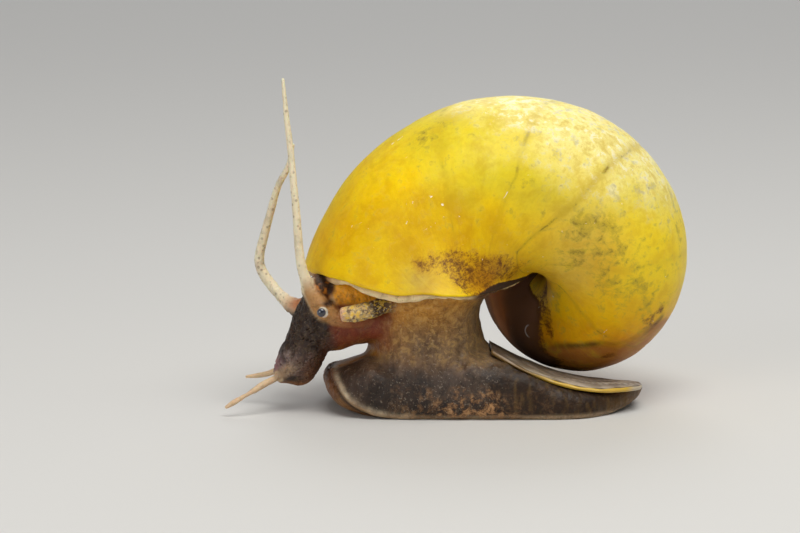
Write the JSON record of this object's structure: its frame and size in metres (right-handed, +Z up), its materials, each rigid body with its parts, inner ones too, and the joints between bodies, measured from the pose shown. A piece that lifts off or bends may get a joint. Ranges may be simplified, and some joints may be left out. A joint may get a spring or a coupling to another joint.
{
  "type": "apple snail",
  "caption": "Life-size still model of a crawling apple snail with a golden coiled shell, horny lid, broad foot, long feelers and short eye stalks, resting on its sole.",
  "frame": {"origin": "on the floor, under the middle of the snail's outline", "axes": "+Z up; the snail faces -X, its left side looks towards -Y, and the point of the shell lies towards +Y"},
  "size_m": [0.0488, 0.0347, 0.0353],
  "materials": {
    "shell": "glossy golden yellow shell with fine growth lines, ochre and brown stains round the navel and under the base",
    "mantle": "moist amber mantle with a pale cream edge",
    "operculum": "horny lid, grey above with an olive-yellow rim",
    "flesh": "moist mottled grey-brown skin, finely wrinkled",
    "head_skin": "moist, almost black skin of the head and snout",
    "feelers": "translucent cream skin with fine dark flecks",
    "siphon": "cream skin mottled with yellow and dark grey",
    "eyes": "glossy blue-black eye"
  },
  "bodies": {
    "root": {"shell": "shell", "mantle": "mantle", "operculum": "operculum", "foot_front": "flesh", "foot_middle": "flesh", "foot_tail": "flesh", "stalk": "flesh", "neck": "flesh", "nuchal_lobe_right": "flesh", "head": "head_skin", "snout": "head_skin", "tentacle_left_base": "feelers", "tentacle_left_mid": "feelers", "tentacle_left_tip": "feelers", "tentacle_right_base": "feelers", "tentacle_right_mid": "feelers", "tentacle_right_tip": "feelers", "palp_left": "feelers", "palp_right": "feelers", "eyestalk_left": "feelers", "eyestalk_right": "feelers", "siphon": "siphon", "eye_left": "eyes", "eye_right": "eyes"}
  },
  "joints": []
}
